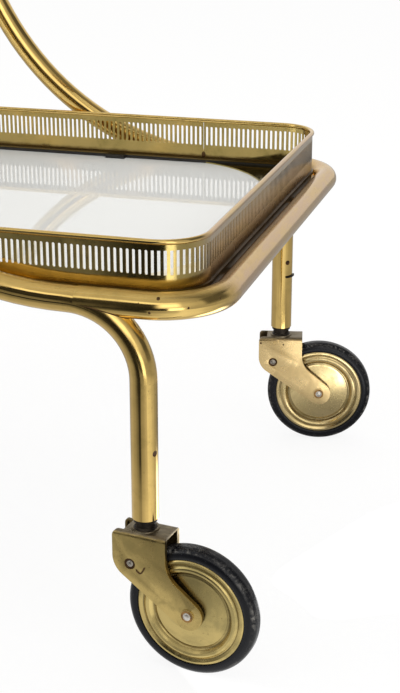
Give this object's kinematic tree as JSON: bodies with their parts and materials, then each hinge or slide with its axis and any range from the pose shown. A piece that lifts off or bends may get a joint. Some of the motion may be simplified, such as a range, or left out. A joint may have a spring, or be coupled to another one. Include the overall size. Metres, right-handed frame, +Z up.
{
  "type": "bar cart",
  "caption": "Tiered serving cart: bent brass tube frame with back-to-back side arcs, pierced gallery trays with glass shelves, swivel casters with dished disc wheels.",
  "frame": {"origin": "on the floor under the centre of the whole cart", "axes": "+X along the cart towards its right end, front towards -Y, +Z up"},
  "size_m": [0.8382, 0.487, 0.85],
  "materials": {
    "frame_brass": "polished, aged",
    "brazed_brass": "brazed, tarnished",
    "gallery_brass": "polished, aged",
    "bead_brass": "polished",
    "fork_brass": "dull, stained",
    "hub_brass": "satin, stained",
    "socket_steel": "plain",
    "dark_steel": "dark, worn",
    "steel": "dull",
    "black_rubber": "matt",
    "tyre_rubber": "matt, scuffed",
    "opal_glass": "white opal, glossy"
  },
  "bodies": {
    "frame": {"front_right_upright": "frame_brass", "back_right_upright": "frame_brass", "front_left_upright": "frame_brass", "back_left_upright": "frame_brass", "lower_right_bow": "frame_brass", "lower_left_bow": "frame_brass", "upper_right_bow": "frame_brass", "upper_left_bow": "frame_brass", "centre_webs": "brazed_brass", "lower_tray_rests": "brazed_brass", "upper_tray_rests": "brazed_brass", "stem_sockets": "socket_steel", "socket_screws": "dark_steel", "leg_clips": "dark_steel"},
    "lower_tray": {"lower_gallery_sides": "gallery_brass", "lower_gallery_ends": "gallery_brass", "lower_gallery_bead": "bead_brass", "lower_glass_channel": "gallery_brass", "lower_glass_gasket": "black_rubber", "lower_glass_pads": "black_rubber", "lower_corner_gussets": "gallery_brass", "lower_glass": "opal_glass"},
    "upper_tray": {"upper_gallery_sides": "gallery_brass", "upper_gallery_ends": "gallery_brass", "upper_gallery_bead": "bead_brass", "upper_glass_channel": "gallery_brass", "upper_glass_gasket": "black_rubber", "upper_glass_pads": "black_rubber", "upper_corner_gussets": "gallery_brass", "upper_glass": "opal_glass"},
    "front_right_swivel": {"front_right_stem": "dark_steel", "front_right_fork": "fork_brass", "front_right_fork_rivet": "steel", "front_right_axle": "steel"},
    "front_right_wheel": {"front_right_hub_discs": "hub_brass", "front_right_hub_bush": "steel", "front_right_tyre": "tyre_rubber"},
    "back_right_swivel": {"back_right_stem": "dark_steel", "back_right_fork": "fork_brass", "back_right_fork_rivet": "steel", "back_right_axle": "steel"},
    "back_right_wheel": {"back_right_hub_discs": "hub_brass", "back_right_hub_bush": "steel", "back_right_tyre": "tyre_rubber"},
    "front_left_swivel": {"front_left_stem": "dark_steel", "front_left_fork": "fork_brass", "front_left_fork_rivet": "steel", "front_left_axle": "steel"},
    "front_left_wheel": {"front_left_hub_discs": "hub_brass", "front_left_hub_bush": "steel", "front_left_tyre": "tyre_rubber"},
    "back_left_swivel": {"back_left_stem": "dark_steel", "back_left_fork": "fork_brass", "back_left_fork_rivet": "steel", "back_left_axle": "steel"},
    "back_left_wheel": {"back_left_hub_discs": "hub_brass", "back_left_hub_bush": "steel", "back_left_tyre": "tyre_rubber"}
  },
  "joints": [
    {"name": "lower_tray_lift", "type": "slide", "parent": "frame", "child": "lower_tray", "axis": [0, 0, 1], "range_m": [0, 0.12]},
    {"name": "upper_tray_lift", "type": "slide", "parent": "frame", "child": "upper_tray", "axis": [0, 0, 1], "range_m": [0, 0.12]},
    {"name": "front_right_swivel_turn", "type": "hinge", "parent": "frame", "child": "front_right_swivel", "pos_m": [0.329, -0.218, 0.11], "axis": [0, 0, 1], "continuous": true},
    {"name": "front_right_wheel_spin", "type": "hinge", "parent": "front_right_swivel", "child": "front_right_wheel", "pos_m": [0.36779, -0.22362, 0.0515], "axis": [0.1435, 0.9897, 0], "continuous": true},
    {"name": "back_right_swivel_turn", "type": "hinge", "parent": "frame", "child": "back_right_swivel", "pos_m": [0.329, 0.218, 0.11], "axis": [0, 0, 1], "continuous": true},
    {"name": "back_right_wheel_spin", "type": "hinge", "parent": "back_right_swivel", "child": "back_right_wheel", "pos_m": [0.36734, 0.22615, 0.0515], "axis": [-0.2079, 0.9781, 0], "continuous": true},
    {"name": "front_left_swivel_turn", "type": "hinge", "parent": "frame", "child": "front_left_swivel", "pos_m": [-0.329, -0.218, 0.11], "axis": [0, 0, 1], "continuous": true},
    {"name": "front_left_wheel_spin", "type": "hinge", "parent": "front_left_swivel", "child": "front_left_wheel", "pos_m": [-0.36734, -0.22615, 0.0515], "axis": [0.2079, -0.9781, 0], "continuous": true},
    {"name": "back_left_swivel_turn", "type": "hinge", "parent": "frame", "child": "back_left_swivel", "pos_m": [-0.329, 0.218, 0.11], "axis": [0, 0, 1], "continuous": true},
    {"name": "back_left_wheel_spin", "type": "hinge", "parent": "back_left_swivel", "child": "back_left_wheel", "pos_m": [-0.36779, 0.22362, 0.0515], "axis": [-0.1435, -0.9897, 0], "continuous": true}
  ]
}
